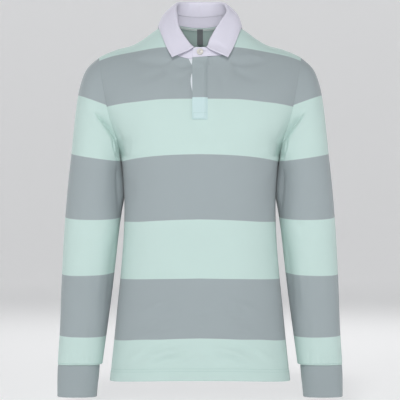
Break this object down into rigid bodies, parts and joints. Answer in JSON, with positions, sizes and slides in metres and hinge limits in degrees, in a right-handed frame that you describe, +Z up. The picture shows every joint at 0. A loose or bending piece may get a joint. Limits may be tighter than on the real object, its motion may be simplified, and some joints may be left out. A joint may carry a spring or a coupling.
{
  "type": "long-sleeve polo shirt",
  "caption": "Long-sleeve polo shirt in wide two-tone stripes with a white collar, filled out and hollow, open at neck, hem and cuffs.",
  "frame": {"origin": "inside the neck, level with the side neck points, where the wearer's neck and shoulders carry the shirt", "axes": "+Z up along the body, +X to the wearer's left, -Y to the front"},
  "size_m": [0.5676, 0.2416, 0.7919],
  "materials": {
    "jersey": "cotton jersey in wide mint and grey stripes",
    "rib": "fine grey cotton rib",
    "collar_cloth": "white woven cotton twill",
    "tape": "mint jersey tape",
    "label": "charcoal woven ribbon, bare",
    "button": "cream resin button"
  },
  "bodies": {
    "root": {"front": "jersey", "back": "jersey", "sleeve_left": "jersey", "sleeve_right": "jersey", "cuff_left": "rib", "cuff_right": "rib", "placket": "jersey", "placket_under": "collar_cloth", "collar_stand": "collar_cloth", "collar_fall": "collar_cloth", "neck_tape": "tape", "label": "label", "button": "button"}
  },
  "joints": []
}
